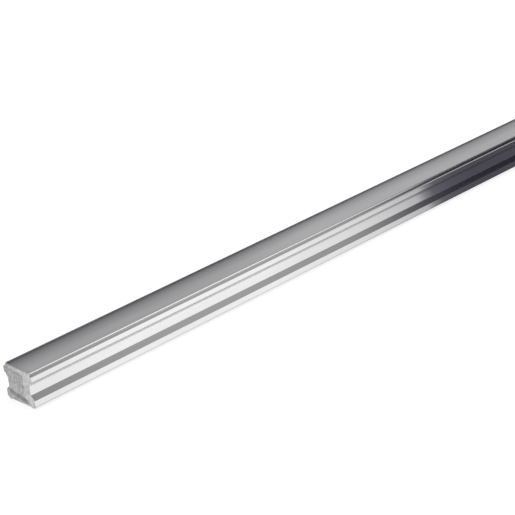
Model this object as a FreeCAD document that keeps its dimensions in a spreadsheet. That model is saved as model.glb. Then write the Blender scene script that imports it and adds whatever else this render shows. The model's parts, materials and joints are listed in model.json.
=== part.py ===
import FreeCAD, Part
import os

import Sketcher
from FreeCAD import Vector

# A size 20 profile guide rail with a clip-on cover strip, in millimetres.
# X runs along the rail, Z points up from the face it is bolted down on, and the
# origin is the middle of that face.

# Driving dimensions: name, value, what it sets. The base is measured up from the
# bed, and the head with its tracks down from the top of the strip.
DIMENSIONS = [
    ("rail_length", 460.0, "length of the rail"),
    ("rail_width", 20.0, "width over the base and over the lands between the tracks"),
    ("rail_height", 17.25, "height of the bare rail, without its strip"),
    ("hole_pitch", 60.0, "distance between mounting holes"),
    ("hole_end_least", 20.0, "least distance from the last hole to the end"),
    ("hole_diameter", 6.0, "clearance hole for an M5 screw"),
    ("head_hole_diameter", 9.5, "counterbore for the screw head"),
    ("head_hole_depth", 8.25, "depth of the counterbore"),
    ("hole_chamfer", 0.3, "broken edge at each mouth of a hole"),
    ("foot_width", 1.0, "width of each flat foot the rail stands on"),
    ("relief_depth", 0.35, "depth of the shallow relief between the feet"),
    ("foot_bevel_width", 1.8, "width of the bevel outside each foot"),
    ("foot_bevel_height", 1.3, "height of that bevel"),
    ("base_side_top", 4.3, "height at which the upright base side ends"),
    ("flare_rise", 2.2, "height of the flare between base side and waist"),
    ("waist_inset", 2.25, "how far the waist lies inside the base side"),
    ("waist_radius", 0.4, "radius between flare and waist"),
    ("ball_diameter", 3.969, "ball that runs in the tracks"),
    ("groove_ratio", 0.52, "track radius as a share of the ball diameter"),
    ("row_outset", 0.55, "ball centres outside the base side"),
    ("row_rise", 0.08, "upper ball centres above the top of the strip"),
    ("row_spacing", 6.18, "height between the upper and lower ball centres"),
    ("track_angle", 5.0, "where the lower track starts, in degrees above its ball centre"),
    ("shelf_width", 0.35, "flat between the upper track and the land"),
    ("waist_bevel_rise", 0.9, "height of the bevel from the waist to the lower track"),
    ("end_chamfer", 0.3, "broken edge around each sawn end"),
    ("strip_inset", 1.25, "how far the strip's bends lie inside the base side"),
    ("strip_gauge", 0.25, "sheet thickness of the cover strip"),
    ("strip_lip", 0.85, "height of the strip over its lips"),
    ("strip_lean", 12.0, "inward lean of the lips in degrees"),
    ("strip_bend", 0.05, "inside radius of the bends"),
    ("strip_setback", 0.6, "distance from the end of the rail to the strip"),
    ("strip_clearance", 0.05, "gap between a lip and the neck it grips"),
    ("lip_gap", 0.1, "gap under a lip"),
]

# Lengths that follow from the driving ones
DERIVED = [
    ("half_width", "rail_width / 2"),
    ("foot_outside", "half_width - foot_bevel_width"),
    ("foot_inside", "foot_outside - foot_width"),
    ("half_waist", "half_width - waist_inset"),
    ("row_offset", "half_width + row_outset"),
    ("half_strip", "half_width - strip_inset"),
    ("hole_count", "floor((rail_length - 2 * hole_end_least) / hole_pitch) + 1"),
    ("hole_span", "(hole_count - 1) * hole_pitch"),
    ("top_height", "rail_height + strip_gauge"),
    ("lip_bottom", "top_height - strip_lip"),
    ("ledge_height", "lip_bottom - lip_gap"),
    ("lean_slope", "tan(strip_lean * 1 deg)"),
    ("lip_skin", "strip_gauge / cos(strip_lean * 1 deg)"),
    ("neck_inset", "(strip_gauge + strip_clearance) / cos(strip_lean * 1 deg)"),
    ("neck_top", "half_strip - strip_gauge * lean_slope - neck_inset"),
    ("neck_bottom", "half_strip - (top_height - ledge_height) * lean_slope - neck_inset"),
    ("bend_outside", "strip_bend + strip_gauge"),
    ("neck_radius", "strip_bend + 2 * strip_clearance"),
    ("strip_length", "rail_length - 2 * strip_setback"),
    ("lip_outside", "half_strip - strip_lip * lean_slope"),
    ("strip_inside", "half_strip - strip_gauge * lean_slope - lip_skin"),
    ("groove_radius", "groove_ratio * ball_diameter"),
    ("upper_row", "top_height + row_rise"),
    ("lower_row", "upper_row - row_spacing"),
    ("shelf_edge", "half_width - shelf_width"),
    ("land_top", "upper_row - sqrt(groove_radius^2 - (row_offset - shelf_edge)^2)"),
    ("land_bottom", "lower_row + sqrt(groove_radius^2 - row_outset^2)"),
    ("upper_track_edge", "row_offset - sqrt(groove_radius^2 - (upper_row - ledge_height)^2)"),
    ("lower_track_height", "lower_row + groove_radius * sin(track_angle * 1 deg)"),
    ("lower_track_edge", "row_offset - groove_radius * cos(track_angle * 1 deg)"),
    ("flare_top", "base_side_top + flare_rise"),
]

# Right half of the rail's section, from under the base up to the top: each corner
# as distance from the middle and height, and what leads on from it. The left half
# mirrors it.
RAIL_CORNERS = [
    ("foot_inside", "relief_depth", "line"),
    ("foot_inside", "0", "line"),
    ("foot_outside", "0", "line"),
    ("half_width", "foot_bevel_height", "line"),
    ("half_width", "base_side_top", "line"),
    ("half_waist", "flare_top", "line"),
    ("half_waist", "lower_track_height - waist_bevel_rise", "line"),
    ("lower_track_edge", "lower_track_height", "track"),
    ("half_width", "land_bottom", "line"),
    ("half_width", "land_top", "line"),
    ("shelf_edge", "land_top", "track"),
    ("upper_track_edge", "ledge_height", "line"),
    ("neck_bottom", "ledge_height", "line"),
    ("neck_top", "rail_height", "line"),
]

# Right half of the strip's section: down the outside of the lip, back up its inside
STRIP_CORNERS = [
    ("half_strip", "top_height", "line"),
    ("lip_outside", "lip_bottom", "line"),
    ("lip_outside - lip_skin", "lip_bottom", "line"),
    ("strip_inside", "rail_height", "line"),
]


def make_sheet(doc):
    """Put the driving and derived dimensions in one spreadsheet."""
    sheet = doc.addObject("Spreadsheet::Sheet", "Sizes")
    row = 1
    for name, value, note in DIMENSIONS:
        sheet.set("A%d" % row, note)
        sheet.set("B%d" % row, str(value))
        sheet.setAlias("B%d" % row, name)
        row += 1
    for name, rule in DERIVED:
        sheet.set("A%d" % row, name)
        sheet.set("B%d" % row, "=" + rule)
        sheet.setAlias("B%d" % row, name)
        row += 1
    doc.recompute()
    return sheet


def plane(body, role):
    """The body's own origin plane."""
    return next(f for f in body.Origin.OriginFeatures if f.Role == role)


def new_sketch(body, role, name):
    """A sketch on one of the body's origin planes."""
    sketch = body.newObject("Sketcher::SketchObject", name)
    sketch.AttachmentSupport = [(plane(body, role), "")]
    sketch.MapMode = "FlatFace"
    return sketch


def in_sheet(rule):
    """Turn a rule on cell names into an expression on the spreadsheet."""
    names = [name for name, *_ in DIMENSIONS + DERIVED]
    return " ".join("Sizes." + word if word in names else word for word in rule.split())


def worth(sheet, rule):
    """What a rule comes to with the spreadsheet's values."""
    value = sheet.evalExpression(in_sheet(rule))
    return float(getattr(value, "Value", value))


def bind(sketch, constraint, rule):
    """Add a constraint and tie it to the spreadsheet."""
    number = sketch.addConstraint(constraint)
    sketch.setExpression("Constraints[%d]" % number, in_sheet(rule))


def track_middle(start, end, radius):
    """Middle of a ball track's arc, which is hollow towards the outside of the rail."""
    chord = end - start
    outward = Vector(chord.y, -chord.x, 0).normalize()
    if outward.x * start.x < 0:
        outward = -outward
    depth = radius - (radius ** 2 - chord.Length ** 2 / 4) ** 0.5
    return (start + end) * 0.5 - outward * depth


def section(sketch, sheet, corners):
    """Draw a closed section that is the same left and right, and bind its right half."""
    right = [Vector(worth(sheet, across), worth(sheet, up), 0) for across, up, _ in corners]
    left = [Vector(-corner.x, corner.y, 0) for corner in reversed(right)]
    loop = right + left
    count = len(loop)
    kinds = [kind for *_, kind in corners]
    kinds += kinds[-2::-1] + ["line"]

    ends = []
    for number, start in enumerate(loop):
        end = loop[(number + 1) % count]
        if kinds[number] == "line":
            ends.append((sketch.addGeometry(Part.LineSegment(start, end)), 1, 2))
            continue
        middle = track_middle(start, end, worth(sheet, "groove_radius"))
        edge = sketch.addGeometry(Part.Arc(start, middle, end))
        forwards = sketch.getPoint(edge, 1).isEqual(start, 1e-6)
        ends.append((edge, 1, 2) if forwards else (edge, 2, 1))

    for number, (edge, _, last) in enumerate(ends):
        following, first, _ = ends[(number + 1) % count]
        sketch.addConstraint(Sketcher.Constraint("Coincident", edge, last, following, first))
    for number, (across, up, _) in enumerate(corners):
        edge, first, _ = ends[number]
        mirrored, twin, _ = ends[count - 1 - number]
        bind(sketch, Sketcher.Constraint("DistanceX", -1, 1, edge, first, loop[number].x), across)
        if up == "0":
            sketch.addConstraint(Sketcher.Constraint("PointOnObject", edge, first, -1))
        else:
            bind(sketch, Sketcher.Constraint("DistanceY", -1, 1, edge, first, loop[number].y), up)
        sketch.addConstraint(Sketcher.Constraint("Symmetric", edge, first, mirrored, twin, -2))
    for kind, (edge, *_) in zip(kinds, ends):
        if kind == "track":
            bend = Sketcher.Constraint("Radius", edge, worth(sheet, "groove_radius"))
            bind(sketch, bend, "groove_radius")


def extrude(body, sheet, corners, length):
    """A bar of one section, the same length each way from the middle."""
    sketch = new_sketch(body, "YZ_Plane", body.Name + "Section")
    section(sketch, sheet, corners)
    pad = body.newObject("PartDesign::Pad", body.Name + "Bar")
    pad.Profile = sketch
    pad.SideType = "Symmetric"
    pad.setExpression("Length", in_sheet(length))
    sheet.Document.recompute()
    return pad


def same(one, other):
    """Whether two measures agree, far inside any working tolerance."""
    return abs(one - other) < 1e-4


def long_edges(feature, across, up):
    """Names of the two edges that run along X at a height and a distance from the middle."""
    names = []
    for number, edge in enumerate(feature.Shape.Edges, 1):
        first, last = edge.Vertexes[0].Point, edge.Vertexes[-1].Point
        along = same(first.y, last.y) and same(first.z, last.z)
        if along and same(abs(first.y), across) and same(first.z, up):
            names.append("Edge%d" % number)
    return names


def ring_edges(feature, radius, height):
    """Names of the full circles of one radius at one height."""
    names = []
    for number, edge in enumerate(feature.Shape.Edges, 1):
        ring = edge.Curve
        if isinstance(ring, Part.Circle) and same(ring.Radius, radius) and same(ring.Center.z, height):
            names.append("Edge%d" % number)
    return names


def end_faces(feature, half_length):
    """Names of the two faces at the ends of a bar."""
    names = []
    for number, face in enumerate(feature.Shape.Faces, 1):
        if same(abs(face.CenterOfMass.x), half_length):
            names.append("Face%d" % number)
    return names


def dress(feature, name, kind, edges, amount, rule):
    """Add a chamfer or fillet, of a size bound to the sheet, on named edges or faces."""
    body = feature.getParentGeoFeatureGroup()
    added = body.newObject("PartDesign::" + kind, name)
    added.Base = (feature, edges)
    added.setExpression(amount, in_sheet(rule))
    body.Document.recompute()
    return added


def mounting_holes(body, sheet):
    """One counterbored hole at the first place, repeated along the rail."""
    centre = new_sketch(body, "XY_Plane", "HoleCentre")
    centre.setExpression("AttachmentOffset.Base.z", in_sheet("rail_height"))
    first, radius = worth(sheet, "hole_span / 2"), worth(sheet, "hole_diameter / 2")
    circle = centre.addGeometry(Part.Circle(Vector(-first, 0, 0), Vector(0, 0, 1), radius))
    bind(centre, Sketcher.Constraint("DistanceX", circle, 3, -1, 1, first), "hole_span / 2")
    centre.addConstraint(Sketcher.Constraint("PointOnObject", circle, 3, -1))
    bind(centre, Sketcher.Constraint("Radius", circle, radius), "hole_diameter / 2")
    sheet.Document.recompute()

    hole = body.newObject("PartDesign::Hole", "MountingHole")
    hole.Profile = centre
    hole.ThreadType = "None"
    hole.DepthType = "ThroughAll"
    hole.HoleCutType = "Counterbore"
    hole.HoleCutCustomValues = True
    hole.setExpression("Diameter", in_sheet("hole_diameter"))
    hole.setExpression("HoleCutDiameter", in_sheet("head_hole_diameter"))
    hole.setExpression("HoleCutDepth", in_sheet("head_hole_depth"))
    sheet.Document.recompute()

    pattern = body.newObject("PartDesign::LinearPattern", "HoleRow")
    pattern.Originals = [hole]
    pattern.Direction = (plane(body, "X_Axis"), [""])
    pattern.setExpression("Length", in_sheet("hole_span"))
    pattern.setExpression("Occurrences", in_sheet("hole_count"))
    body.Tip = pattern
    sheet.Document.recompute()
    return pattern


def guide_rail(doc, sheet):
    """The hardened steel rail: section, waist radii, sawn ends and mounting holes."""
    body = doc.addObject("PartDesign::Body", "Rail")
    body.Label = "guide_rail"
    bar = extrude(body, sheet, RAIL_CORNERS, "rail_length")
    waist = long_edges(bar, worth(sheet, "half_waist"), worth(sheet, "flare_top"))
    rounded = dress(bar, "WaistRadius", "Fillet", waist, "Radius", "waist_radius")
    ends = end_faces(rounded, worth(sheet, "rail_length / 2"))
    broken = dress(rounded, "SawnEnds", "Chamfer", ends, "Size", "end_chamfer")
    neck = long_edges(broken, worth(sheet, "neck_top"), worth(sheet, "rail_height"))
    dress(broken, "NeckRadius", "Fillet", neck, "Radius", "neck_radius")
    row = mounting_holes(body, sheet)
    mouths = ring_edges(row, worth(sheet, "head_hole_diameter / 2"), worth(sheet, "rail_height"))
    mouths += ring_edges(row, worth(sheet, "hole_diameter / 2"), worth(sheet, "relief_depth"))
    dress(row, "HoleMouths", "Chamfer", mouths, "Size", "hole_chamfer")
    return body


def cover_strip(doc, sheet):
    """The spring steel strip that closes the holes and clips over the rail's head."""
    body = doc.addObject("PartDesign::Body", "Strip")
    body.Label = "cover_strip"
    bar = extrude(body, sheet, STRIP_CORNERS, "strip_length")
    inside = long_edges(bar, worth(sheet, "strip_inside"), worth(sheet, "rail_height"))
    bent = dress(bar, "BendInside", "Fillet", inside, "Radius", "strip_bend")
    outside = long_edges(bent, worth(sheet, "half_strip"), worth(sheet, "top_height"))
    dress(bent, "BendOutside", "Fillet", outside, "Radius", "bend_outside")
    return body


def export(doc, bodies):
    """Stop on any failed object, then write one file for each piece."""
    for item in doc.Objects:
        if "Invalid" in item.State or "Error" in item.State:
            raise RuntimeError("%s failed: %s" % (item.Label, item.State))
    for body in bodies:
        shape = body.Shape
        if shape.isNull() or not shape.isValid() or len(shape.Solids) != 1:
            raise RuntimeError("%s has no good solid" % body.Label)
    for body in bodies:
        body.Shape.exportStep("parts/%s.step" % body.Label)
        box = body.Shape.BoundBox
        print(body.Label, "volume %.1f" % body.Shape.Volume, "box", box)


def main():
    os.makedirs("parts", exist_ok=True)
    doc = FreeCAD.newDocument("GuideRail")
    sheet = make_sheet(doc)
    bodies = [guide_rail(doc, sheet), cover_strip(doc, sheet)]
    doc.recompute()
    export(doc, bodies)


main()
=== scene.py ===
import json
import math

import bpy
from mathutils import Matrix, Vector

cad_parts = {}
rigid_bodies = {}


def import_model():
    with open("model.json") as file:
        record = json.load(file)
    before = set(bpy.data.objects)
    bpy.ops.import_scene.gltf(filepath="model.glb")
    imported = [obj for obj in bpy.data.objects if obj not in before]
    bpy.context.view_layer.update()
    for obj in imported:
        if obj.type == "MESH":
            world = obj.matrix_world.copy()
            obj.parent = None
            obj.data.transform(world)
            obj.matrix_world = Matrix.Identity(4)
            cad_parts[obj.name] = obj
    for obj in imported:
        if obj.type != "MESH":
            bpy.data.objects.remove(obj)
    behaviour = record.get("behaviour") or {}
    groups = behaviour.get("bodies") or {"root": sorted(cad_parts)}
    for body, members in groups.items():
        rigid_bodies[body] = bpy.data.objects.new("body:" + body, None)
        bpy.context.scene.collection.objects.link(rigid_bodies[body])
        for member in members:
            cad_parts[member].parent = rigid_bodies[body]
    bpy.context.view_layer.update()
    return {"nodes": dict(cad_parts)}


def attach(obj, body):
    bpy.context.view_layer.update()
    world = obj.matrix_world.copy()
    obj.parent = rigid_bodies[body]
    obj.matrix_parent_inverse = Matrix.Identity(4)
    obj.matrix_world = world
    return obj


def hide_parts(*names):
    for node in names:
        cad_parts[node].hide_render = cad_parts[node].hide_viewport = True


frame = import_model()
mm = 0.001
print("frame loaded:", sorted(frame["nodes"]))


# A section is a closed line: across from the middle and up from the bed, in
# millimetres, each corner with the radius and steps that round it.
straightHalf = 1.55                               # a corner flatter than this, in radians, stays sharp
sideShare = 0.45                                  # the most of a side that one rounding takes


def arcBetween(start, end, centre, steps):
    first, last = (start - centre), (end - centre)
    sweep = math.atan2(first.cross(last), first.dot(last))
    return [centre + Matrix.Rotation(sweep * n / steps, 2) @ first for n in range(1, steps)]


def roundOff(corners):
    line = []
    for number, (corner, radius, steps) in enumerate(corners):
        before = corners[number - 1][0] - corner
        after = corners[(number + 1) % len(corners)][0] - corner
        half = before.angle(after) / 2
        if radius == 0 or half > straightHalf:
            line.append(corner)
            continue
        reach = min(radius / math.tan(half), sideShare * before.length, sideShare * after.length)
        start, end = corner + before.normalized() * reach, corner + after.normalized() * reach
        middle = (before.normalized() + after.normalized()).normalized()
        centre = corner + middle * reach / math.cos(half)
        line += [start] + arcBetween(start, end, centre, steps) + [end]
    return line


def mirrored(corners):
    return corners + [(Vector((-p.x, p.y)), radius, steps) for p, radius, steps in reversed(corners)]


railSize = {
    "length": 460.0, "halfWidth": 10.0, "height": 17.25,
    "footInside": 7.2, "footOutside": 8.2, "relief": 0.35, "footBevel": 1.3,
    "baseTop": 4.3, "halfWaist": 7.75, "flareTop": 6.5, "waistRadius": 0.4, "waistBevel": 0.9,
    "landTop": 15.72, "landRun": 0.6,             # the wheel runs out in a slight slope to the land
    "ledge": 16.55, "neckBottom": 8.241, "neckTop": 8.39, "neckRadius": 0.15,
    "rowOffset": 10.55, "upperRow": 17.58, "lowerRow": 11.4,    # where the balls run
    "trackRadius": 2.06388, "trackStart": 5.0,
    "cornerBreak": 0.12,                          # stoned edge along the ground corners
    "endChamfer": 0.3,
    "trackSteps": 14, "cornerSteps": 4, "waistSteps": 6,
}


def railSection(size):
    upper = Vector((size["rowOffset"], size["upperRow"]))
    lower = Vector((size["rowOffset"], size["lowerRow"]))
    radius, turn = size["trackRadius"], math.radians(size["trackStart"])
    trackEdge = upper.x - math.sqrt(radius ** 2 - (upper.y - size["ledge"]) ** 2)
    bottom = lower + Vector((-math.cos(turn), math.sin(turn))) * radius
    overhang = lower.y + math.sqrt(radius ** 2 - (lower.x - size["halfWidth"]) ** 2)
    inner = Vector((trackEdge, size["ledge"]))
    run = size["halfWidth"] - size["landRun"]
    land = Vector((run, upper.y - math.sqrt(radius ** 2 - (upper.x - run) ** 2)))
    under = Vector((size["halfWidth"], overhang))

    ground, turns = size["cornerBreak"], size["cornerSteps"]
    corners = [
        (Vector((size["footInside"], size["relief"])), 0, 0),
        (Vector((size["footInside"], 0)), ground, turns),
        (Vector((size["footOutside"], 0)), ground, turns),
        (Vector((size["halfWidth"], size["footBevel"])), ground, turns),
        (Vector((size["halfWidth"], size["baseTop"])), ground, turns),
        (Vector((size["halfWaist"], size["flareTop"])), size["waistRadius"], size["waistSteps"]),
        (Vector((size["halfWaist"], bottom.y - size["waistBevel"])), 0, 0),
        (bottom, 0, 0),
    ]
    corners += [(point, 0, 0) for point in arcBetween(bottom, under, lower, size["trackSteps"])]
    corners += [
        (under, ground / 2, turns),
        (Vector((size["halfWidth"], size["landTop"])), ground, turns),
        (land, 0, 0),
    ]
    corners += [(point, 0, 0) for point in arcBetween(land, inner, upper, size["trackSteps"])]
    corners += [
        (inner, 0, 0),
        (Vector((size["neckBottom"], size["ledge"])), 0, 0),
        (Vector((size["neckTop"], size["height"])), size["neckRadius"], turns),
    ]
    return roundOff(mirrored(corners))


stripSize = {
    "length": 458.8, "halfWidth": 8.75, "top": 17.5, "gauge": 0.25, "lip": 0.85,
    "lean": 12.0, "bendInside": 0.05, "bendSteps": 6, "endBreak": 0.03,
    "face": 8.72, "edgeBreak": 0.06, "edgeSteps": 3,            # the lips' upright outer faces
}


def stripSection(size):
    slope = math.tan(math.radians(size["lean"]))
    skin = size["gauge"] / math.cos(math.radians(size["lean"]))
    foot = size["halfWidth"] - size["lip"] * slope - skin
    inside = size["halfWidth"] - size["gauge"] * slope - skin
    bottom, under = size["top"] - size["lip"], size["top"] - size["gauge"]
    bend, steps = size["bendInside"], size["bendSteps"]
    half = [
        (Vector((size["face"], size["top"])), bend + size["gauge"], steps),
        (Vector((size["face"], bottom)), size["edgeBreak"], size["edgeSteps"]),
        (Vector((foot, bottom)), size["edgeBreak"], size["edgeSteps"]),
        (Vector((inside, under)), bend, steps),
    ]
    return roundOff(mirrored(half))


def sectionObject(name, points, middle):
    # the section's own middle is its origin, so that the sweep can shrink it at the ends
    mesh = bpy.data.meshes.new(name)
    count = len(points)
    places = [(p.x * mm, (p.y - middle) * mm, 0) for p in points]
    mesh.from_pydata(places, [(n, (n + 1) % count) for n in range(count)], [])
    piece = bpy.data.objects.new(name, mesh)
    bpy.context.scene.collection.objects.link(piece)
    return piece


# Builders for the node trees: put adds a node, feed links or sets a socket.
class Builder:
    def __init__(self, tree):
        self.tree = tree

    def put(self, kind, inputs=(), **settings):
        node = self.tree.nodes.new(kind)
        for key, value in settings.items():
            setattr(node, key, value)
        for socket, value in dict(inputs).items():
            self.feed(node.inputs[socket], value)
        return node.outputs

    def feed(self, socket, value):
        if isinstance(value, bpy.types.NodeSocket):
            self.tree.links.new(value, socket)
        else:
            socket.default_value = value

    def sum(self, operation, *values):
        return self.put("ShaderNodeMath", enumerate(values), operation=operation)[0]

    def split(self, vector):
        return self.put("ShaderNodeSeparateXYZ", {"Vector": vector})


# Geometry Nodes: a bar swept along X, and a row of stepped holes in it
class FormTree(Builder):
    def __init__(self, name, inputs):
        super().__init__(bpy.data.node_groups.new(name, "GeometryNodeTree"))
        face = self.tree.interface
        face.new_socket("Geometry", in_out="INPUT", socket_type="NodeSocketGeometry")
        self.ids = {}
        for label, kind, value in inputs:
            socket = face.new_socket(label, in_out="INPUT", socket_type="NodeSocket" + kind)
            if value is not None:
                socket.default_value = value
            self.ids[label] = socket.identifier
        face.new_socket("Geometry", in_out="OUTPUT", socket_type="NodeSocketGeometry")
        self.given = self.tree.nodes.new("NodeGroupInput").outputs
        self.result = self.tree.nodes.new("NodeGroupOutput").inputs

    def test(self, operation, kind, first, second):
        ends = {"INT": (2, 3), "FLOAT": (0, 1)}[kind]
        settings = {"data_type": kind, "operation": operation}
        return self.put("FunctionNodeCompare", zip(ends, (first, second)), **settings)[0]


barInputs = [
    ("Length", "Float", 0.46), ("End Chamfer", "Float", 0.0003),
    ("Half Width", "Float", 0.01), ("Middle Height", "Float", 0.009),
]


def sweptBarTree():
    # a path of four points: the two outer ones carry the section shrunk by the end chamfer
    made = FormTree("sweptBar", barInputs)
    given = made.given
    index = made.put("GeometryNodeInputIndex")[0]
    beyond = made.test("GREATER_EQUAL", "INT", index, 2)
    side = made.sum("SUBTRACT", made.sum("MULTIPLY", beyond, 2.0), 1.0)
    outer = made.sum("ABSOLUTE", made.sum("SUBTRACT", index, 1.5))
    atEnd = made.test("GREATER_THAN", "FLOAT", outer, 1.0)
    inset = made.sum("MULTIPLY", made.sum("SUBTRACT", 1.0, atEnd), given["End Chamfer"])
    half = made.sum("SUBTRACT", made.sum("MULTIPLY", given["Length"], 0.5), inset)
    place = made.put("ShaderNodeCombineXYZ", {"Z": made.sum("MULTIPLY", side, half)})[0]
    line = made.put("GeometryNodeMeshLine", {"Count": 4})[0]
    line = made.put("GeometryNodeSetPosition", {"Geometry": line, "Position": place})[0]
    path = made.put("GeometryNodeMeshToCurve", {"Mesh": line})[0]
    section = made.put("GeometryNodeMeshToCurve", {"Mesh": given["Geometry"]})[0]
    shrink = made.sum("DIVIDE", given["End Chamfer"], given["Half Width"])
    scale = made.sum("SUBTRACT", 1.0, made.sum("MULTIPLY", atEnd, shrink))
    bar = made.put("GeometryNodeCurveToMesh", {
        "Curve": path, "Profile Curve": section, "Scale": scale, "Fill Caps": True})[0]
    lift = made.put("ShaderNodeCombineXYZ", {"Z": given["Middle Height"]})[0]
    bar = made.put("GeometryNodeTransform", {
        "Geometry": bar, "Translation": lift, "Rotation": (math.pi / 2, 0, math.pi / 2)})[0]
    made.feed(made.result[0], bar)
    return made


def placedBar(made, barTree):
    bar = made.put("GeometryNodeGroup", {}, node_tree=barTree.tree)[0]
    made.feed(bar.node.inputs["Geometry"], made.given["Geometry"])
    for label, _, _ in barInputs:
        made.feed(bar.node.inputs[label], made.given[label])
    return bar


def smoothed(made, shape, limit):
    # creases sharper than the limit stay sharp
    angle = made.put("GeometryNodeInputMeshEdgeAngle")["Unsigned Angle"]
    crease = made.test("GREATER_THAN", "FLOAT", angle, limit)
    soft = made.put("GeometryNodeSetShadeSmooth", {
        "Geometry": shape, "Shade Smooth": True}, domain="FACE")[0]
    return made.put("GeometryNodeSetShadeSmooth", {
        "Geometry": soft, "Selection": crease, "Shade Smooth": False}, domain="EDGE")[0]


def guideRailTree(barTree):
    made = FormTree("guideRailForm", barInputs + [
        ("Hole Cutter", "Object", None), ("Hole Count", "Int", 8), ("Hole Pitch", "Float", 0.06),
        ("Hole Reach", "Float", 0.005), ("Hole Top", "Float", 0.0172), ("Hole Bottom", "Float", 0.0004),
        ("Crease", "Float", 0.55),
        ("Ground", "Material", None), ("Sawn", "Material", None), ("Bored", "Material", None),
    ])
    given = made.given
    bar = placedBar(made, barTree)
    gaps = made.sum("SUBTRACT", given["Hole Count"], 1.0)
    first = made.sum("MULTIPLY", made.sum("MULTIPLY", gaps, given["Hole Pitch"]), -0.5)
    start = made.put("ShaderNodeCombineXYZ", {"X": first})[0]
    step = made.put("ShaderNodeCombineXYZ", {"X": given["Hole Pitch"]})[0]
    row = made.put("GeometryNodeMeshLine", {
        "Count": given["Hole Count"], "Start Location": start, "Offset": step})[0]
    cutter = made.put("GeometryNodeObjectInfo", {"Object": given["Hole Cutter"]})["Geometry"]
    cutters = made.put("GeometryNodeInstanceOnPoints", {"Points": row, "Instance": cutter})[0]
    cutters = made.put("GeometryNodeRealizeInstances", {"Geometry": cutters})[0]
    cut = made.put("GeometryNodeMeshBoolean", {
        "Mesh 1": bar, "Mesh 2": cutters}, operation="DIFFERENCE", solver="EXACT")[0]
    shape = smoothed(made, cut, given["Crease"])

    # the sawn ends face along X, and the bores lie close round each hole's axis
    position = made.put("GeometryNodeInputPosition")[0]
    x, y, z = made.split(position)
    facing = made.split(made.put("GeometryNodeInputNormal")[0])[0]
    atEnd = made.test("GREATER_THAN", "FLOAT", made.sum("ABSOLUTE", facing), 0.9)
    halfGap = made.sum("MULTIPLY", given["Hole Pitch"], 0.5)
    otherHalf = made.sum("MULTIPLY", halfGap, -1.0)
    along = made.sum("WRAP", made.sum("SUBTRACT", x, first), halfGap, otherHalf)
    away = made.sum("ADD", made.sum("MULTIPLY", along, along), made.sum("MULTIPLY", y, y))
    near = made.test("LESS_THAN", "FLOAT", made.sum("SQRT", away), given["Hole Reach"])
    low = made.test("LESS_THAN", "FLOAT", z, given["Hole Top"])
    high = made.test("GREATER_THAN", "FLOAT", z, given["Hole Bottom"])
    inHole = made.sum("MULTIPLY", made.sum("MULTIPLY", near, low), high)
    shape = made.put("GeometryNodeRealizeInstances", {"Geometry": shape})[0]
    shape = made.put("GeometryNodeSetMaterial", {"Geometry": shape, "Material": given["Ground"]})[0]
    shape = made.put("GeometryNodeSetMaterial", {
        "Geometry": shape, "Selection": atEnd, "Material": given["Sawn"]})[0]
    shape = made.put("GeometryNodeSetMaterial", {
        "Geometry": shape, "Selection": inHole, "Material": given["Bored"]})[0]
    made.feed(made.result[0], shape)
    return made


def coverStripTree(barTree):
    made = FormTree("coverStripForm", barInputs + [
        ("Crease", "Float", 0.55), ("Rolled", "Material", None),
    ])
    given = made.given
    shape = smoothed(made, placedBar(made, barTree), given["Crease"])
    shape = made.put("GeometryNodeRealizeInstances", {"Geometry": shape})[0]
    shape = made.put("GeometryNodeSetMaterial", {"Geometry": shape, "Material": given["Rolled"]})[0]
    made.feed(made.result[0], shape)
    return made


def formed(name, start, made, values):
    # evaluate the nodes on the section and keep the result as a plain mesh
    modifier = start.modifiers.new(made.tree.name, "NODES")
    modifier.node_group = made.tree
    for label, value in values.items():
        modifier[made.ids[label]] = value
    bpy.context.view_layer.update()
    graph = bpy.context.evaluated_depsgraph_get()
    mesh = bpy.data.meshes.new_from_object(start.evaluated_get(graph))
    start.modifiers.clear()
    bpy.data.objects.remove(start)
    piece = bpy.data.objects.new(name, mesh)
    mesh.name = name
    bpy.context.scene.collection.objects.link(piece)
    even = piece.modifiers.new("flatsFirst", "WEIGHTED_NORMAL")
    even.keep_sharp = True
    print(name, "has", len(mesh.polygons), "faces and", len(mesh.materials), "materials")
    return piece


holeSize = {
    "count": 8, "pitch": 60.0, "bore": 3.0, "head": 4.75,       # bore and head are radii
    "headDepth": 8.25, "mouth": 0.3, "past": 0.5, "segments": 72,
    "finishPast": 0.1, "finishShort": 0.02,       # how far the bored finish reaches, and stops short
}


def holeCutter(rail, hole):
    # a turned shape: bore, counterbore and the broken edge at each mouth, carried past the surface
    top, low = rail["height"], rail["relief"]
    mouth, past = hole["mouth"], hole["past"]
    rings = [
        (hole["bore"] + mouth + past, low - past), (hole["bore"], low + mouth),
        (hole["bore"], top - hole["headDepth"]), (hole["head"], top - hole["headDepth"]),
        (hole["head"], top - mouth), (hole["head"] + mouth + past, top + past),
    ]
    count = hole["segments"]
    turns = [2 * math.pi * n / count for n in range(count)]
    points = [(r * mm * math.cos(a), r * mm * math.sin(a), z * mm) for r, z in rings for a in turns]
    lastRing = (len(rings) - 1) * count
    faces = [tuple(reversed(range(count))), tuple(range(lastRing, lastRing + count))]
    for low in range(0, lastRing, count):
        high = low + count
        faces += [(low + n, low + (n + 1) % count, high + (n + 1) % count, high + n)
                  for n in range(count)]
    mesh = bpy.data.meshes.new("holeCutter")
    mesh.from_pydata(points, [], faces)
    piece = bpy.data.objects.new("holeCutter", mesh)
    bpy.context.scene.collection.objects.link(piece)
    return piece


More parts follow.
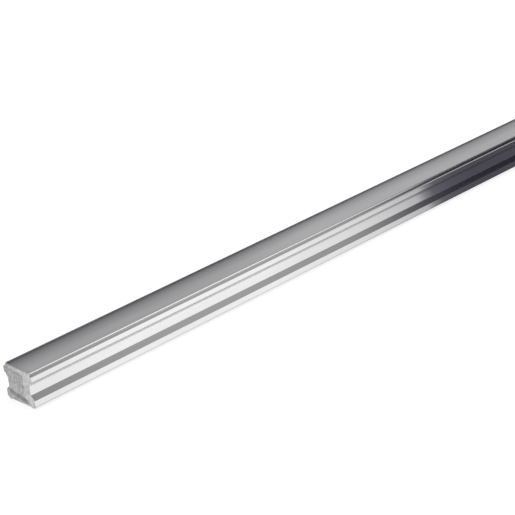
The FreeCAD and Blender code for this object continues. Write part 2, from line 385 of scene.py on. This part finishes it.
# Finishes
class Finish(Builder):
    def spread(self, value, low, high, first=0.0, last=1.0, smooth=True):
        kind = "SMOOTHSTEP" if smooth else "LINEAR"
        return self.put("ShaderNodeMapRange", {
            "Value": value, "From Min": low, "From Max": high, "To Min": first, "To Max": last,
        }, interpolation_type=kind)[0]

    def blend(self, share, first, second):
        node = self.tree.nodes.new("ShaderNodeMix")
        node.data_type = "RGBA"
        for number, value in ((0, share), (6, first), (7, second)):
            self.feed(node.inputs[number], value)
        return node.outputs[2]

    def ladder(self, value, steps):
        # straight stretches from each (place, amount) to the next
        total = steps[0][1]
        for (low, before), (high, after) in zip(steps, steps[1:]):
            step = self.spread(value, low, high, 0.0, after - before, smooth=False)
            total = self.sum("ADD", total, step)
        return total

    def tint(self, colour, share):
        return self.put("ShaderNodeVectorMath", {0: colour, 1: share}, operation="MULTIPLY")[0]


def shaderGroup(name, inputs, outputs):
    tree = bpy.data.node_groups.new(name, "ShaderNodeTree")
    for label, kind, value in inputs:
        socket = tree.interface.new_socket(label, in_out="INPUT", socket_type="NodeSocket" + kind)
        socket.default_value = value
    for label, kind in outputs:
        tree.interface.new_socket(label, in_out="OUTPUT", socket_type="NodeSocket" + kind)
    made = Finish(tree)
    return made, made.put("NodeGroupInput"), tree.nodes.new("NodeGroupOutput").inputs


def grindingLines():
    # long fine scratches: Along and Across are waves to the metre
    made, given, result = shaderGroup("grindingLines", [
        ("Place", "Vector", (0, 0, 0)), ("Along", "Float", 12.0), ("Across", "Float", 1500.0),
        ("Depth", "Float", 0.000001)], [("Tone", "Float"), ("Height", "Float")])
    wide = made.put("ShaderNodeCombineXYZ", {
        "X": given["Along"], "Y": given["Across"], "Z": given["Across"]})[0]
    place = made.put("ShaderNodeVectorMath", {0: given["Place"], 1: wide}, operation="MULTIPLY")[0]
    inputs = {"Vector": place, "Scale": 1.0, "Detail": 4.0, "Roughness": 0.6}
    lines = made.put("ShaderNodeTexNoise", inputs)["Fac"]
    made.feed(result["Tone"], made.spread(lines, 0.3, 0.7, smooth=False))
    made.feed(result["Height"], made.sum("MULTIPLY", lines, given["Depth"]))
    return made.tree


def cloudyPatches():
    # faint uneven patches of handling and oil
    made, given, result = shaderGroup("cloudyPatches", [
        ("Place", "Vector", (0, 0, 0)), ("Size", "Float", 60.0), ("Stretch", "Float", 0.25)],
        [("Tone", "Float")])
    wide = made.put("ShaderNodeCombineXYZ", {"X": given["Stretch"], "Y": 1.0, "Z": 1.0})[0]
    place = made.put("ShaderNodeVectorMath", {0: given["Place"], 1: wide}, operation="MULTIPLY")[0]
    inputs = {"Vector": place, "Scale": given["Size"], "Detail": 3.0}
    cloud = made.put("ShaderNodeTexNoise", inputs)["Fac"]
    made.feed(result["Tone"], made.spread(cloud, 0.35, 0.65))
    return made.tree


lineGroup, patchGroup = grindingLines(), cloudyPatches()


def newMetal(name):
    material = bpy.data.materials.new(name)
    material.use_nodes = True
    made = Finish(material.node_tree)
    shader = material.node_tree.nodes["Principled BSDF"].inputs
    shader["Metallic"].default_value = 1.0
    place = made.put("ShaderNodeTexCoord")["Object"]
    return material, made, shader, place


def placed(made, group, inputs):
    node = made.put("ShaderNodeGroup", node_tree=group)
    for label, value in inputs.items():
        made.feed(node[0].node.inputs[label], value)
    return node


def withLines(made, place, size):
    return placed(made, lineGroup, {
        "Place": place, "Along": size["along"], "Across": size["across"], "Depth": size["depth"]})


def withPatches(made, place, size):
    return placed(made, patchGroup, {
        "Place": place, "Size": size["patch"], "Stretch": size["stretch"]})["Tone"]


def bumped(made, shader, height):
    bump = made.put("ShaderNodeBump", {"Height": height, "Distance": 1.0})
    made.feed(shader["Normal"], bump["Normal"])


groundSize = {
    "dark": (0.79, 0.79, 0.795, 1), "light": (0.875, 0.875, 0.88, 1),
    "roughLow": 0.06, "roughHigh": 0.12, "along": 9.0, "across": 2200.0, "depth": 0.0000012,
    "patch": 55.0, "stretch": 0.2, "patchShare": 0.35,
    "stoned": 0.9, "stonedDrop": 0.00018,         # the last millimetre before each sawn end
    "trackPaintedShade": 0.61, "trackEdge": (0.03, 0.06),              # painted shade on the lower tracks
    "footPaintedShade": 0.56, "footShadeEdge": 0.5,         # painted shade on the bevels under the base
}


def groundSteel(size, rail):
    material, made, shader, place = newMetal("groundSteel")
    lines = withLines(made, place, size)
    tone = lines["Tone"]
    share = made.sum("MULTIPLY", tone, 1.0 - size["patchShare"])
    share = made.sum("MULTIPLY_ADD", withPatches(made, place, size), size["patchShare"], share)
    steel = made.blend(share, size["dark"], size["light"])

    # how far the surface lies from the lower balls' path tells the track from its neighbours
    x, y, z = made.split(made.tint(place, (1000, 1000, 1000)))
    side = made.sum("SUBTRACT", made.sum("ABSOLUTE", y), rail["rowOffset"])
    rise = made.sum("SUBTRACT", z, rail["lowerRow"])
    away = made.sum("SQRT", made.sum("MULTIPLY_ADD", side, side, made.sum("MULTIPLY", rise, rise)))
    away = made.sum("ABSOLUTE", made.sum("SUBTRACT", away, rail["trackRadius"]))
    # painted shade: the lower tracks darkened, standing in for the shade they mirror
    track = made.spread(away, *size["trackEdge"], size["trackPaintedShade"], 1.0)
    bevel = rail["footBevel"]
    # painted shade: the bevels under the base and the lowest half-millimetre of the side darkened,
    # standing in for the floor's shade they mirror
    footShade = made.spread(z, bevel, bevel + size["footShadeEdge"], size["footPaintedShade"], 1.0)
    made.feed(shader["Base Color"], made.tint(made.tint(steel, track), footShade))
    rough = made.spread(tone, 0, 1, size["roughHigh"], size["roughLow"], smooth=False)
    made.feed(shader["Roughness"], rough)
    last = rail["length"] / 2 - rail["endChamfer"]
    near = made.spread(made.sum("ABSOLUTE", x), last - size["stoned"], last, smooth=False)
    turned = made.sum("MULTIPLY", made.sum("POWER", near, 2.0), -size["stonedDrop"])
    bumped(made, shader, made.sum("ADD", lines["Height"], turned))
    return material


rolledSize = {
    "dark": (0.74, 0.74, 0.745, 1), "light": (0.80, 0.80, 0.80, 1),
    "roughLow": 0.17, "roughHigh": 0.23, "along": 25.0, "across": 1800.0, "depth": 0.0000006,
    "patch": 90.0, "stretch": 0.15, "patchShare": 0.5,
    "lip": (0.80, 0.80, 0.80, 1), "lipHighlightStart": 0.00842, "lipHighlightEdge": 0.0001,       # painted highlight along the lips
    "halfWidth": 0.0086,
    "crown": (2.0, 0.00022), "shoulder": (6.0, 0.00005),        # how sharply and how deep
    "roll": (10.0, 0.00022),                      # the same, towards +Y only
    "sag": 1.12, "sagStart": 0.004,               # the crown falls away more towards +Y
}


def rolledSteel(size):
    # the strip springs into a slight crown, which the light shows across its width
    material, made, shader, place = newMetal("rolledSteel")
    lines = withLines(made, place, size)
    tone = lines["Tone"]
    share = made.sum("MULTIPLY", tone, 1.0 - size["patchShare"])
    share = made.sum("MULTIPLY_ADD", withPatches(made, place, size), size["patchShare"], share)
    steel = made.blend(share, size["dark"], size["light"])
    y = made.split(place)[1]
    across = made.sum("ABSOLUTE", y)
    # painted highlight: the lips get the strip's brightest tone
    lip = made.spread(across, size["lipHighlightStart"], size["lipHighlightStart"] + size["lipHighlightEdge"])
    made.feed(shader["Base Color"], made.blend(lip, steel, size["lip"]))
    rough = made.spread(tone, 0, 1, size["roughHigh"], size["roughLow"], smooth=False)
    made.feed(shader["Roughness"], rough)

    both = made.sum("MINIMUM", made.sum("DIVIDE", across, size["halfWidth"]), 1.0)
    far = made.sum("MAXIMUM", made.sum("DIVIDE", y, size["halfWidth"]), 0.0)
    far = made.sum("MINIMUM", far, 1.0)
    height = lines["Height"]
    for where, bend in ((both, "crown"), (both, "shoulder"), (far, "roll")):
        power, depth = size[bend]
        height = made.sum("MULTIPLY_ADD", made.sum("POWER", where, power), -depth, height)
    past = made.sum("MAXIMUM", made.sum("ADD", y, size["sagStart"]), 0.0)
    height = made.sum("MULTIPLY_ADD", made.sum("MULTIPLY", past, past), -size["sag"], height)
    bumped(made, shader, height)
    return material


sawnSize = {
    "core": (0.50, 0.50, 0.505, 1), "case": (0.665, 0.665, 0.67, 1), "line": (0.34, 0.34, 0.35, 1),
    "darkBand": (0.27, 0.27, 0.275, 1), "rough": (0.58, 0.42),
    "wobble": 0.9, "wobbleDepth": 1.6,            # how unevenly the saw left the colours' edges
    "caseTop": 14.3, "caseTilt": 0.1236, "caseSide": -2.8,      # where the lighter zone ends: the hardened skin, with painted light widening it over the near side
    # painted shade: the cut end darker towards the far side (+Y)
    "caseEdge": (-0.3, 1.2), "caseFarPaintedShade": (-2.0, 9.0, 1.0, 0.66),
    "waistLow": (5.5, 7.5), "waistHigh": (9.0, 11.5), "waistShade": 0.12,
    "lineShift": 0.1, "lineHalf": (0.1, 0.6), "lineLow": (6.0, 9.0), "lineShare": 0.6,
    "darkBandLow": 2.15, "darkBandTilt": 0.1814, "darkBandEdge": -4.65, "darkBandHalf": (0.8, 1.5),
    "darkBandNear": (-6.4, -3.8), "darkBandFar": (6.6, 7.8), "darkBandShare": 0.85, "darkBandWobble": 0.3,
    "grit": 0.75, "gritTone": (0.33, 0.67, 0.72, 1.12), "gritDepth": 0.00012,
    # painted shade: the grit also darker towards the far side (+Y)
    "farPaintedShade": (5.5, 9.5, 1.0, 0.85),
}


def sawnSteel(size):
    # the cut end: a lighter hardened skin over the top and near side, partly painted light, with
    # painted shade darkening it towards the far side (+Y), and a darker band near the base
    material, made, shader, place = newMetal("sawnSteel")
    scaled = made.tint(place, (1000, 1000, 1000))
    _, y, z = made.split(scaled)
    uneven = made.put("ShaderNodeTexNoise", {
        "Vector": scaled, "Scale": size["wobble"], "Detail": 4.0})["Fac"]
    uneven = made.sum("MULTIPLY", made.sum("SUBTRACT", uneven, 0.5), size["wobbleDepth"])

    inwards = made.sum("SUBTRACT", y, size["caseSide"])
    top = made.sum("MULTIPLY_ADD", inwards, size["caseTilt"], size["caseTop"])
    above, beside = made.sum("SUBTRACT", z, top), made.sum("SUBTRACT", size["caseSide"], y)
    depth = made.sum("ADD", made.sum("MAXIMUM", above, beside), uneven)
    # painted shade: the skin's colour falls off towards the far side (+Y)
    case = made.tint(size["case"][:3], made.spread(y, *size["caseFarPaintedShade"], smooth=False))
    waist = made.spread(z, *size["waistHigh"], 1.0, 0.0)
    waist = made.sum("MULTIPLY", made.spread(z, *size["waistLow"]), waist)
    case = made.tint(case, made.sum("MULTIPLY_ADD", waist, -size["waistShade"], 1.0))
    base = made.blend(made.spread(depth, *size["caseEdge"]), size["core"], case)

    # a dark line where the skin ends
    line = made.sum("ABSOLUTE", made.sum("ADD", depth, size["lineShift"]))
    line = made.spread(line, *size["lineHalf"], 1.0, 0.0)
    line = made.sum("MULTIPLY", line, made.spread(z, *size["lineLow"]))
    base = made.blend(made.sum("MULTIPLY", line, size["lineShare"]), base, size["line"])

    # the darker band climbs a little across the base
    along = made.sum("SUBTRACT", y, size["darkBandEdge"])
    middle = made.sum("MULTIPLY_ADD", along, size["darkBandTilt"], size["darkBandLow"])
    away = made.sum("MULTIPLY_ADD", uneven, size["darkBandWobble"], made.sum("SUBTRACT", z, middle))
    band = made.spread(made.sum("ABSOLUTE", away), *size["darkBandHalf"], 1.0, 0.0)
    band = made.sum("MULTIPLY", band, made.spread(y, *size["darkBandNear"]))
    band = made.sum("MULTIPLY", band, made.spread(y, *size["darkBandFar"], 1.0, 0.0))
    base = made.blend(made.sum("MULTIPLY", band, size["darkBandShare"]), base, size["darkBand"])

    grit = made.put("ShaderNodeTexNoise", {
        "Vector": scaled, "Scale": size["grit"], "Detail": 5.0, "Roughness": 0.7})["Fac"]
    grey = made.spread(grit, *size["gritTone"], smooth=False)
    # painted shade: the grit darker towards the far side (+Y)
    grey = made.sum("MULTIPLY", grey, made.spread(y, *size["farPaintedShade"]))
    made.feed(shader["Base Color"], made.tint(base, grey))
    made.feed(shader["Roughness"], made.spread(grit, 0.3, 0.7, *size["rough"]))
    bumped(made, shader, made.sum("MULTIPLY", grit, size["gritDepth"]))
    return material


boredSize = {
    "dark": (0.42, 0.41, 0.41, 1), "light": (0.58, 0.58, 0.58, 1), "patch": 400.0, "stretch": 1.0,
    "ring": 3500.0, "ringDepth": 0.000004, "rough": (0.28, 0.42),
}


def boredSteel(size):
    # drilled and counterbored before hardening: darker, with turning rings
    material, made, shader, place = newMetal("boredSteel")
    z = made.split(place)[2]
    level = made.put("ShaderNodeCombineXYZ", {"Z": made.sum("MULTIPLY", z, size["ring"])})[0]
    rings = made.put("ShaderNodeTexNoise", {"Vector": level, "Scale": 1.0, "Detail": 2.0})["Fac"]
    patch = withPatches(made, place, size)
    made.feed(shader["Base Color"], made.blend(patch, size["dark"], size["light"]))
    made.feed(shader["Roughness"], made.spread(rings, 0.3, 0.7, *size["rough"]))
    bumped(made, shader, made.sum("MULTIPLY", rings, size["ringDepth"]))
    return material


ground, sawn = groundSteel(groundSize, railSize), sawnSteel(sawnSize)
bored, rolled = boredSteel(boredSize), rolledSteel(rolledSize)
print("finishes made")


# The two pieces
barTree = sweptBarTree()
railMiddle, stripMiddle = railSize["height"] / 2, stripSize["top"] - stripSize["lip"] / 2
cutter = holeCutter(railSize, holeSize)
railPiece = formed(
    "railDressed", sectionObject("railSection", railSection(railSize), railMiddle),
    guideRailTree(barTree), {
        "Length": railSize["length"] * mm, "End Chamfer": railSize["endChamfer"] * mm,
        "Half Width": railSize["halfWidth"] * mm, "Middle Height": railMiddle * mm,
        "Hole Cutter": cutter, "Hole Count": holeSize["count"], "Hole Pitch": holeSize["pitch"] * mm,
        "Hole Reach": (holeSize["head"] + holeSize["mouth"] + holeSize["finishPast"]) * mm,
        "Hole Top": (railSize["height"] - holeSize["finishShort"]) * mm,
        "Hole Bottom": (railSize["relief"] + holeSize["finishShort"]) * mm,
        "Ground": ground, "Sawn": sawn, "Bored": bored,
    })
bpy.data.objects.remove(cutter)
stripPiece = formed(
    "stripDressed", sectionObject("stripSection", stripSection(stripSize), stripMiddle),
    coverStripTree(barTree), {
        "Length": stripSize["length"] * mm, "End Chamfer": stripSize["endBreak"] * mm,
        "Half Width": stripSize["halfWidth"] * mm, "Middle Height": stripMiddle * mm, "Rolled": rolled,
    })

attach(railPiece, "rail")
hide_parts("guide_rail")
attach(stripPiece, "strip")
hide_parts("cover_strip")
print("pieces ride on their bodies")


# Floor, dark card, light and camera
stageSize = {
    "reach": 8.0, "drop": -0.00005, "floor": (0.34, 0.34, 0.34, 1), "shown": 0.765,
    "sky": 0.60, "lampPower": 6.0, "lampSide": 1.2, "lampPlace": (-0.25, -0.35, 1.3),
}
cardSize = {
    "near": -0.0076, "far": -0.9, "left": -0.26, "right": 1.2, "lift": 0.0002,
    "edge": (0.041, -0.0105), "turn": 53.0, "tone": (0.080, 0.075, 0.098, 1),
    # how dark, by distance inside the slanted edge
    "fade": [(-0.206, 0.09), (-0.198, 0.055), (-0.187, 0.025), (-0.172, 0.0), (-0.10, 0.0),
             (-0.050, 0.187), (-0.0325, 0.29), (-0.0158, 0.44), (-0.0075, 0.53),
             (-0.0025, 0.80), (0.003, 0.945), (0.014, 0.98), (0.03, 1.0)],
}
tentSize = {
    # how bright by height, and the share of it along X on the far side and on the near side
    "rise": [(0.0, (0.34, 0.34, 0.35)), (0.06, (0.24, 0.24, 0.25)), (0.12, (0.036, 0.035, 0.043)),
             (0.2, (0.036, 0.035, 0.043)), (0.28, (0.122, 0.122, 0.137)), (0.34, (0.304, 0.304, 0.341)),
             (0.38, (0.46, 0.46, 0.46)), (0.46, (0.52, 0.52, 0.52)), (0.6, (0.335, 0.335, 0.335)),
             (1.0, (0.315, 0.315, 0.315))],
    "leanFrom": 0.62, "leanMost": 0.12, "leanShare": 0.5,       # the rise starts lower towards +X
    "beyond": [(0.50, 0.95), (0.536, 0.99), (0.566, 1.0), (0.59, 0.88), (0.62, 1.08), (0.648, 1.24),
               (0.675, 1.21), (0.696, 1.18), (0.715, 1.09), (0.74, 1.19)],
    "nearer": [(0.50, 0.86), (0.521, 0.98), (0.57, 1.19), (0.605, 1.22), (0.65, 1.04), (0.672, 1.09),
               (0.69, 1.35), (0.71, 1.20)],
    "farSide": (-0.1, 0.3),                       # where the near share passes into the far one
    # each light or flag: where it begins and ends, as steps along an axis from one share to another
    "high": [("y", 0.26, 0.32, 0, 1), ("y", 0.48, 0.54, 1, 0), ("z", 0.54, 0.60, 0, 1)],
    "highNear": (0.42, 0.42, 0.42, 1), "highFar": (0.55, 0.55, 0.555, 1), "highTurn": (0.60, 0.67),
    "front": [("y", -0.15, 0.05, 1, 0), ("z", 0.25, 0.35, 1, 0)],
    "flag": [("x", 0.654, 0.702, 0, 1), ("y", 0.0, 0.28, 1, 0), ("x", 0.80, 0.88, 1, 0)],
    "flagLow": (0.15, 0.15, 0.155, 1), "flagHigh": (0.020, 0.018, 0.027, 1), "flagTurn": (0.16, 0.40),
    "behind": [("x", 0.05, 0.25, 1, 0), ("y", -0.25, -0.05, 1, 0), ("z", 0.35, 0.45, 0, 1),
               ("y", -0.55, -0.40, 0, 1)],
    "behindTone": (0.05, 0.05, 0.05, 1),
}


def plainPlane(name, corners, material):
    mesh = bpy.data.meshes.new(name)
    mesh.from_pydata(corners, [], [tuple(range(len(corners)))])
    mesh.materials.append(material)
    piece = bpy.data.objects.new(name, mesh)
    bpy.context.scene.collection.objects.link(piece)
    return piece


def floorMaterial(size):
    # lit as any floor, with a little added where it is looked at, so that it reads as white paper
    material = bpy.data.materials.new("paperFloor")
    material.use_nodes = True
    tree = material.node_tree
    tree.nodes.clear()
    made = Finish(tree)
    path = made.put("ShaderNodeLightPath")
    seen = made.sum("MAXIMUM", path["Is Camera Ray"], path["Is Glossy Ray"])
    seen = made.sum("MAXIMUM", seen, path["Is Transmission Ray"])
    glow = made.put("ShaderNodeEmission", {
        "Color": (1, 1, 1, 1), "Strength": made.sum("MULTIPLY", seen, size["shown"])})[0]
    matt = made.put("ShaderNodeBsdfDiffuse", {"Color": size["floor"]})[0]
    both = made.put("ShaderNodeAddShader", {0: glow, 1: matt})[0]
    clear = made.put("ShaderNodeBsdfTransparent")[0]
    under = made.put("ShaderNodeNewGeometry")["Backfacing"]
    shown = made.put("ShaderNodeMixShader", {0: under, 1: both, 2: clear})[0]
    made.feed(tree.nodes.new("ShaderNodeOutputMaterial").inputs[0], shown)
    return material


def cardMaterial(size):
    # black card laid in front of the far half, which the near side mirrors
    material = bpy.data.materials.new("darkCard")
    material.use_nodes = True
    tree = material.node_tree
    tree.nodes.clear()
    made = Finish(tree)
    place = made.put("ShaderNodeTexCoord")["Object"]
    turn = math.radians(size["turn"])
    x, y, _ = made.split(place)
    edgeX, edgeY = size["edge"]
    inside = made.sum("MULTIPLY", made.sum("SUBTRACT", y, edgeY), math.cos(turn))
    inside = made.sum("MULTIPLY_ADD", made.sum("SUBTRACT", x, edgeX), math.sin(turn), inside)
    share = made.ladder(inside, size["fade"])
    dark = made.put("ShaderNodeEmission", {"Color": size["tone"], "Strength": 1.0})[0]
    clear = made.put("ShaderNodeBsdfTransparent")[0]
    shown = made.put("ShaderNodeMixShader", {0: share, 1: clear, 2: dark})[0]
    made.feed(tree.nodes.new("ShaderNodeOutputMaterial").inputs[0], shown)
    return material


def rectangle(left, right, near, far, height):
    return [(left, near, height), (left, far, height), (right, far, height), (right, near, height)]


reach = stageSize["reach"]
floorCorners = rectangle(-reach, reach, reach, -reach, stageSize["drop"])
plainPlane("floor", floorCorners, floorMaterial(stageSize))
cardCorners = rectangle(*(cardSize[name] for name in ("left", "right", "near", "far", "lift")))
card = plainPlane("darkCard", cardCorners, cardMaterial(cardSize))
card.visible_camera = card.visible_diffuse = card.visible_shadow = card.visible_transmission = False


def studioWorld(size, tent):
    # white to the camera, plain to matt surfaces, and a lit tent with dark flags to the metal
    world = bpy.data.worlds.new("studio")
    world.use_nodes = True
    tree = world.node_tree
    tree.nodes.clear()
    made = Finish(tree)
    path = made.put("ShaderNodeLightPath")
    x, y, z = made.split(made.put("ShaderNodeTexCoord")["Generated"])
    ways = {"x": x, "y": y, "z": z}

    def area(name):
        share = 1.0
        for way, *steps in tent[name]:
            share = made.sum("MULTIPLY", share, made.spread(ways[way], *steps))
        return share

    lean = made.sum("MINIMUM", made.sum("SUBTRACT", x, tent["leanFrom"]), tent["leanMost"])
    lean = made.sum("MAXIMUM", lean, -tent["leanMost"])
    height = made.sum("MULTIPLY_ADD", lean, tent["leanShare"], z)
    ramp = tree.nodes.new("ShaderNodeValToRGB")
    ramp.color_ramp.interpolation = "B_SPLINE"
    while len(ramp.color_ramp.elements) < len(tent["rise"]):
        ramp.color_ramp.elements.new(0.5)
    for element, (at, colour) in zip(ramp.color_ramp.elements, tent["rise"]):
        element.position, element.color = at, (*colour, 1)
    made.feed(ramp.inputs[0], height)
    far = made.spread(y, *tent["farSide"])
    share = made.sum("MULTIPLY", made.sum("SUBTRACT", 1.0, far), made.ladder(x, tent["nearer"]))
    share = made.sum("MULTIPLY_ADD", far, made.ladder(x, tent["beyond"]), share)
    look = made.tint(ramp.outputs[0], share)

    # a lighter strip high up, which only the slopes beside each flat top mirror
    high = made.blend(made.spread(x, *tent["highTurn"]), tent["highNear"], tent["highFar"])
    look = made.blend(area("high"), look, high)
    # white low in front, a dark flag towards +X, and a darker patch behind
    look = made.blend(area("front"), look, (1, 1, 1, 1))
    flag = made.blend(made.spread(z, *tent["flagTurn"]), tent["flagLow"], tent["flagHigh"])
    look = made.blend(area("flag"), look, flag)
    look = made.blend(area("behind"), look, tent["behindTone"])

    sky = (size["sky"], size["sky"], size["sky"], 1)
    look = made.blend(path["Is Glossy Ray"], sky, look)
    look = made.blend(path["Is Camera Ray"], look, (1, 1, 1, 1))
    out = made.put("ShaderNodeBackground", {"Color": look, "Strength": 1.0})[0]
    made.feed(tree.nodes.new("ShaderNodeOutputWorld").inputs[0], out)
    bpy.context.scene.world = world


studioWorld(stageSize, tentSize)
lampData = bpy.data.lights.new("softbox", "AREA")
lampData.energy, lampData.size = stageSize["lampPower"], stageSize["lampSide"]
lamp = bpy.data.objects.new("softbox", lampData)
lamp.location = stageSize["lampPlace"]
lamp.rotation_euler = (-lamp.location).to_track_quat("-Z", "Y").to_euler()
lamp.visible_glossy = False
bpy.context.scene.collection.objects.link(lamp)

cameraSize = {
    "place": (-0.62221, -0.58587, 0.35790), "towards": (0.6213890, 0.6759550, -0.3961824),
    "roll": 5.8710, "lens": 126.296, "sensor": 36.0, "clipStart": 0.01,
}
cameraData = bpy.data.cameras.new("camera")
cameraData.lens, cameraData.sensor_width = cameraSize["lens"], cameraSize["sensor"]
cameraData.clip_start = cameraSize["clipStart"]
camera = bpy.data.objects.new("camera", cameraData)
level = Vector(cameraSize["towards"]).to_track_quat("-Z", "Y").to_matrix()
camera.matrix_world = Matrix.Translation(cameraSize["place"]) @ (
    level @ Matrix.Rotation(math.radians(-cameraSize["roll"]), 3, "Z")).to_4x4()
bpy.context.scene.collection.objects.link(camera)
bpy.context.scene.camera = camera
bpy.context.scene.view_settings.view_transform = "Standard"
print("stage, light and camera set")

bpy.context.view_layer.update()
